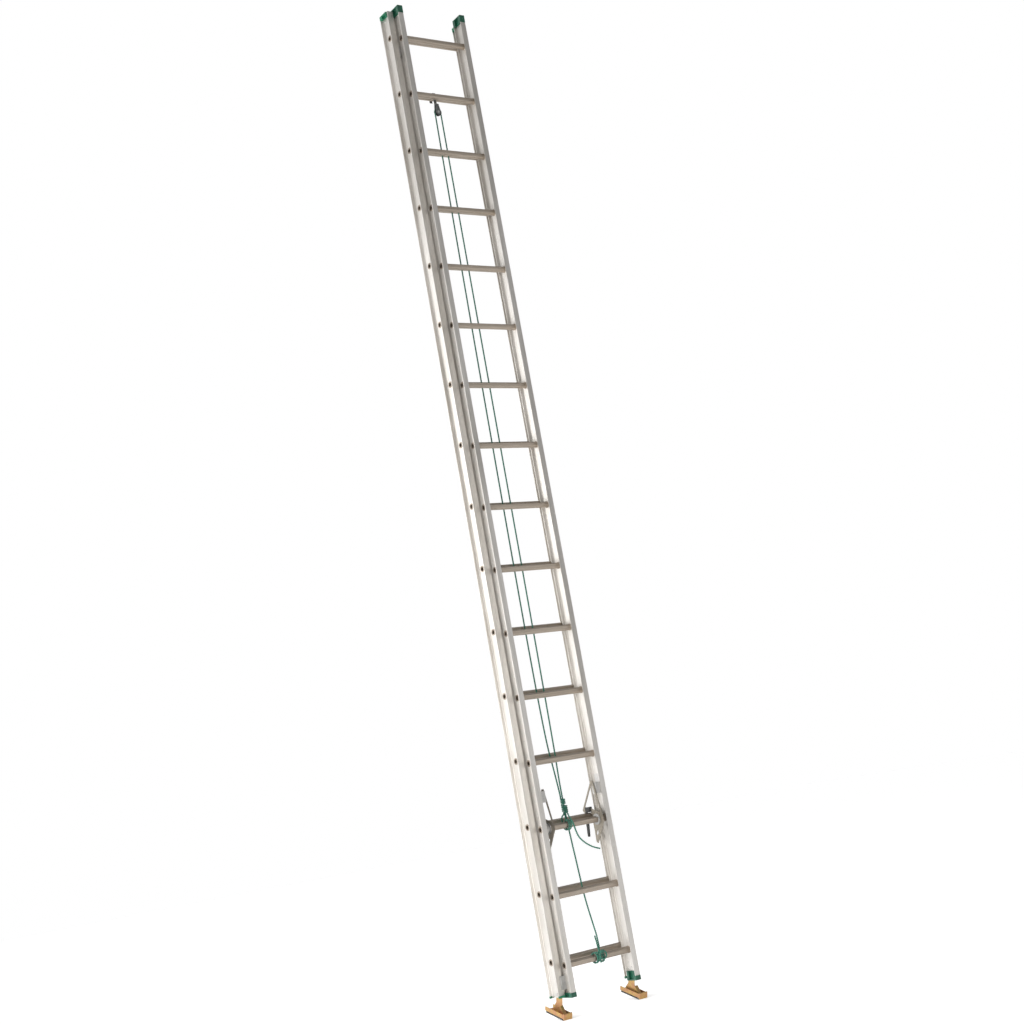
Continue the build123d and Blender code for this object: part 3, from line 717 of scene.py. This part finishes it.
def coil_mesh(name, centre, radius, wire, x_from, x_to, turn_count):
    """Torsion spring wound round a rung at centre (y, z), from one X to another."""
    build = bmesh.new()
    steps = round(turn_count * COIL_STEPS_PER_TURN)
    line = []
    for index in range(steps + 1):
        angle = COIL_START + 2 * pi * turn_count * index / steps
        line.append(place(
            x_from + (x_to - x_from) * index / steps,
            centre[0] + radius * cos(angle),
            centre[1] + radius * sin(angle),
        ))
    frames = carried_frames(line)
    rings = []
    for point, (side, other) in zip(line, frames):
        ring = []
        for corner in range(COIL_SIDES):
            angle = 2 * pi * corner / COIL_SIDES
            ring.append(build.verts.new(
                point + wire * MM * (cos(angle) * side + sin(angle) * other)
            ))
        rings.append(ring)
    join_rings(build, rings)
    build.faces.new(rings[0])
    build.faces.new(rings[-1])
    return finish_mesh(name, build)


def add_lock_fittings():
    """Black nylon saddles on the locks' crossbars, and the torsion springs beside them."""
    for side, side_name in ((-1, "left"), (1, "right")):
        low_x, high_x = sorted(side * x for x in SADDLE_X)
        low = (low_x, SADDLE_Y[0], SADDLE_Z[0])
        high = (high_x, SADDLE_Y[1], SADDLE_Z[1])
        saddle = box_mesh(f"{side_name}_saddle", low, high, SADDLE_BEVEL)
        add_piece(f"{side_name}_saddle", saddle, BLACK, f"{side_name}_lock")
        spring = coil_mesh(f"{side_name}_spring", (FLY_RUNG_Y, LOCK_RUNG_Z), SPRING_RADIUS,
                           SPRING_WIRE, side * SPRING_X[0], side * SPRING_X[1], SPRING_TURNS)
        add_piece(f"{side_name}_spring", spring, ZINC, "fly")


add_lock_fittings()

# ---------------------------------------------------------------- studio

FLOOR_SIZE = 60.0
FLOOR_GLOW = 0.42
# The room's light is strongest from this way and weakest from the opposite one
BRIGHT_WAY = (-0.62, 0.70, 0.35)
BRIGHT_FROM = -1.0
BRIGHT_TO = 0.8
DIMMEST = 0.18
BRIGHTEST = 0.86
# Name, place, aim, width and watts of each soft light
LIGHTS = (
    ("key", (-4.2, 2.4, 3.0), (0.0, 0.0, 1.0), 3.0, 110.0),
    ("low_left", (-3.6, -1.2, 0.9), (0.0, 0.0, 0.4), 2.0, 110.0),
)


def add_floor():
    """Plain pale floor under the shoes."""
    build = bmesh.new()
    bmesh.ops.create_grid(build, x_segments=1, y_segments=1, size=FLOOR_SIZE / 2)
    mesh = finish_mesh("floor", build, False)
    floor = bpy.data.objects.new("floor", mesh)
    bpy.context.scene.collection.objects.link(floor)
    material, _, shader = new_material("floor")
    shader.inputs["Base Color"].default_value = (0.9, 0.9, 0.9, 1.0)
    shader.inputs["Roughness"].default_value = 0.9
    shader.inputs["Emission Color"].default_value = (*WHITE, 1.0)
    shader.inputs["Emission Strength"].default_value = FLOOR_GLOW
    mesh.materials.append(material)


def add_area_light(name, at, aim, size, power):
    """Soft square light aimed at a point."""
    data = bpy.data.lights.new(name, "AREA")
    data.shape = "SQUARE"
    data.size = size
    data.energy = power
    light = bpy.data.objects.new(name, data)
    bpy.context.scene.collection.objects.link(light)
    direction = Vector(aim) - Vector(at)
    turn = direction.to_track_quat("-Z", "Y").to_matrix().to_4x4()
    light.matrix_world = Matrix.Translation(at) @ turn
    light.visible_camera = False


def add_world():
    """White room, dimmer on the climber's side towards the right; the camera sees it plain white."""
    world = bpy.data.worlds.new("studio")
    bpy.context.scene.world = world
    world.use_nodes = True
    tree = world.node_tree
    background = tree.nodes["Background"]
    coordinates = tree.nodes.new("ShaderNodeTexCoord")
    toward = tree.nodes.new("ShaderNodeVectorMath")
    toward.operation = "DOT_PRODUCT"
    toward.inputs[1].default_value = BRIGHT_WAY
    strength = tree.nodes.new("ShaderNodeMapRange")
    strength.inputs["From Min"].default_value = BRIGHT_FROM
    strength.inputs["From Max"].default_value = BRIGHT_TO
    strength.inputs["To Min"].default_value = DIMMEST
    strength.inputs["To Max"].default_value = BRIGHTEST
    tree.links.new(coordinates.outputs["Generated"], toward.inputs[0])
    tree.links.new(toward.outputs["Value"], strength.inputs["Value"])
    path = tree.nodes.new("ShaderNodeLightPath")
    seen = tree.nodes.new("ShaderNodeMix")
    seen.data_type = "FLOAT"
    room_in, camera_in = MIX_NUMBERS
    seen.inputs[camera_in].default_value = 1.0
    tree.links.new(path.outputs["Is Camera Ray"], seen.inputs[MIX_FACTOR])
    tree.links.new(strength.outputs["Result"], seen.inputs[room_in])
    background.inputs["Color"].default_value = (*WHITE, 1.0)
    tree.links.new(seen.outputs[MIX_NUMBER_OUT], background.inputs["Strength"])


add_floor()
add_world()
for light in LIGHTS:
    add_area_light(*light)
bpy.context.scene.view_settings.view_transform = "Standard"
